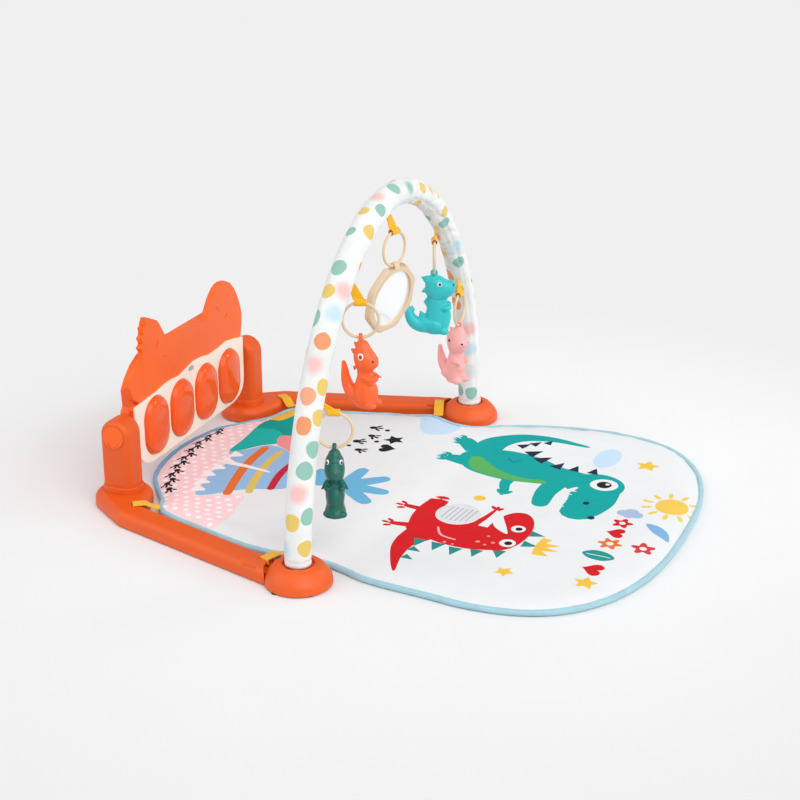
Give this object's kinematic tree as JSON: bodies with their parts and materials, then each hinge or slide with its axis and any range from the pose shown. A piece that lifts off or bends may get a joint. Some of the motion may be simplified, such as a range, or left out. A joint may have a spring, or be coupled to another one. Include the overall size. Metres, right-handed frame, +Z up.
{
  "type": "activity play gym",
  "caption": "Free-standing baby activity gym: quilted floor mat, padded toy arch with hanging rattles and a mirror, and a tilting kick piano between two posts on splayed rails.",
  "frame": {"origin": "floor midpoint between the two arch feet, on the underside of the mat", "axes": "+X from the piano to the round end of the mat, +Y to the child's left-hand arch foot as seen facing +X, +Z up"},
  "size_m": [0.7956, 0.696, 0.45],
  "materials": {
    "orange_shell": "moulded, satin gloss",
    "orange_key": "moulded, gloss",
    "screw_steel": "zinc plated",
    "ring_plastic": "satin",
    "tab_fabric": "woven ribbon",
    "bead_plastic": "satin",
    "tube_white": "satin",
    "sleeve_fabric": "printed woven fabric over padding",
    "battery_can": "printed can",
    "contact_metal": "nickel plated",
    "board": "solder mask",
    "pad_rubber": "matt",
    "mat_edge": "piping fabric",
    "mat_fabric": "printed quilted fabric",
    "toy_beige": "satin",
    "mirror_film": "mirror film",
    "grey_plastic": "satin",
    "cream_plastic": "moulded, satin gloss",
    "speaker_black": "matt",
    "toy_green": "soft vinyl",
    "toy_orange": "soft vinyl",
    "toy_pink": "soft vinyl",
    "toy_teal": "soft vinyl"
  },
  "bodies": {
    "frame": {"rail_right": "orange_shell", "rail_left": "orange_shell", "foot_right": "orange_shell", "foot_left": "orange_shell", "foot_screws": "screw_steel", "post_right": "orange_shell", "post_left": "orange_shell", "post_screws": "screw_steel", "rubber_pads": "pad_rubber", "arch_tube_right": "tube_white", "arch_tube_left": "tube_white", "arch_connector": "tube_white", "arch_sleeve": "sleeve_fabric", "tab_a": "tab_fabric", "tab_b": "tab_fabric", "tab_c": "tab_fabric", "tab_d": "tab_fabric", "tab_e": "tab_fabric", "mat_pad": "mat_fabric", "mat_binding": "mat_edge", "mat_straps": "tab_fabric"},
    "piano": {"piano_front_shell": "orange_shell", "piano_bezel": "cream_plastic", "piano_rear_cover": "orange_shell", "cover_screws": "screw_steel", "battery_door": "orange_shell", "battery_door_screw": "screw_steel", "batteries": "battery_can", "battery_contacts": "contact_metal", "speaker": "speaker_black", "circuit_board": "board", "key_contact_pads": "pad_rubber", "pivot_pin_right": "orange_shell", "pivot_pin_left": "orange_shell"},
    "mode_button": {"mode_button": "grey_plastic"},
    "power_switch": {"power_switch": "grey_plastic"},
    "key_1": {"key_1": "orange_key"},
    "key_2": {"key_2": "orange_key"},
    "key_3": {"key_3": "orange_key"},
    "key_4": {"key_4": "orange_key"},
    "ring_a": {"ring_a": "ring_plastic"},
    "toy_green": {"toy_green": "toy_green", "beads_green": "bead_plastic"},
    "ring_b": {"ring_b": "ring_plastic"},
    "toy_orange": {"toy_orange": "toy_orange", "beads_orange": "bead_plastic"},
    "ring_c": {"ring_c": "ring_plastic"},
    "mirror": {"mirror_frame": "toy_beige", "mirror_sheet": "mirror_film", "mirror_back": "toy_beige"},
    "ring_d": {"ring_d": "ring_plastic"},
    "toy_teal": {"toy_teal": "toy_teal", "beads_teal": "bead_plastic"},
    "ring_e": {"ring_e": "ring_plastic"},
    "toy_pink": {"toy_pink": "toy_pink", "beads_pink": "bead_plastic"}
  },
  "joints": [
    {"name": "piano_tilt", "type": "hinge", "parent": "frame", "child": "piano", "pos_m": [-0.331, 0, 0.105], "axis": [0, 1, 0], "range_deg": [-20, 45]},
    {"name": "key_1_press", "type": "slide", "parent": "piano", "child": "key_1", "axis": [-1, 0, 0], "range_m": [0, 0.003], "stiffness_N_per_m": 150},
    {"name": "key_2_press", "type": "slide", "parent": "piano", "child": "key_2", "axis": [-1, 0, 0], "range_m": [0, 0.003], "stiffness_N_per_m": 150},
    {"name": "key_3_press", "type": "slide", "parent": "piano", "child": "key_3", "axis": [-1, 0, 0], "range_m": [0, 0.003], "stiffness_N_per_m": 150},
    {"name": "key_4_press", "type": "slide", "parent": "piano", "child": "key_4", "axis": [-1, 0, 0], "range_m": [0, 0.003], "stiffness_N_per_m": 150},
    {"name": "mode_button_press", "type": "slide", "parent": "piano", "child": "mode_button", "axis": [-1, 0, 0], "range_m": [0, 0.0015], "stiffness_N_per_m": 150},
    {"name": "power_switch_slide", "type": "slide", "parent": "piano", "child": "power_switch", "axis": [0, 1, 0], "range_m": [0, 0.007]},
    {"name": "ring_a_swing", "type": "hinge", "parent": "frame", "child": "ring_a", "pos_m": [0.024, -0.243, 0.2132], "axis": [0.9203, 0.3911, 0], "range_deg": [0, 20]},
    {"name": "toy_green_swing", "type": "hinge", "parent": "ring_a", "child": "toy_green", "pos_m": [0.024, -0.243, 0.1662], "axis": [0.9203, 0.3911, 0], "range_deg": [-10, 20]},
    {"name": "ring_b_swing", "type": "hinge", "parent": "frame", "child": "ring_b", "pos_m": [0.018, -0.147, 0.328], "axis": [0.9203, 0.3911, 0], "range_deg": [-15, 20]},
    {"name": "toy_orange_swing", "type": "hinge", "parent": "ring_b", "child": "toy_orange", "pos_m": [0.018, -0.147, 0.281], "axis": [0.9203, 0.3911, 0], "range_deg": [-15, 20]},
    {"name": "ring_c_swing", "type": "hinge", "parent": "frame", "child": "ring_c", "pos_m": [0.015, -0.03, 0.391], "axis": [0.2421, 0.9703, 0], "range_deg": [-20, 20]},
    {"name": "mirror_swing", "type": "hinge", "parent": "ring_c", "child": "mirror", "pos_m": [0.015, -0.03, 0.344], "axis": [0.2421, 0.9703, 0], "range_deg": [-15, 15]},
    {"name": "ring_d_swing", "type": "hinge", "parent": "frame", "child": "ring_d", "pos_m": [-0.002, 0.155, 0.327], "axis": [-0.3911, 0.9203, 0], "range_deg": [-20, 20]},
    {"name": "toy_teal_swing", "type": "hinge", "parent": "ring_d", "child": "toy_teal", "pos_m": [-0.002, 0.155, 0.28], "axis": [-0.3911, 0.9203, 0], "range_deg": [-20, 20]},
    {"name": "ring_e_swing", "type": "hinge", "parent": "frame", "child": "ring_e", "pos_m": [0.0133, 0.219, 0.2305], "axis": [-0.054, 0.9985, 0], "range_deg": [-20, 10]},
    {"name": "toy_pink_swing", "type": "hinge", "parent": "ring_e", "child": "toy_pink", "pos_m": [0.0133, 0.219, 0.1835], "axis": [-0.054, 0.9985, 0], "range_deg": [-20, 15]}
  ]
}
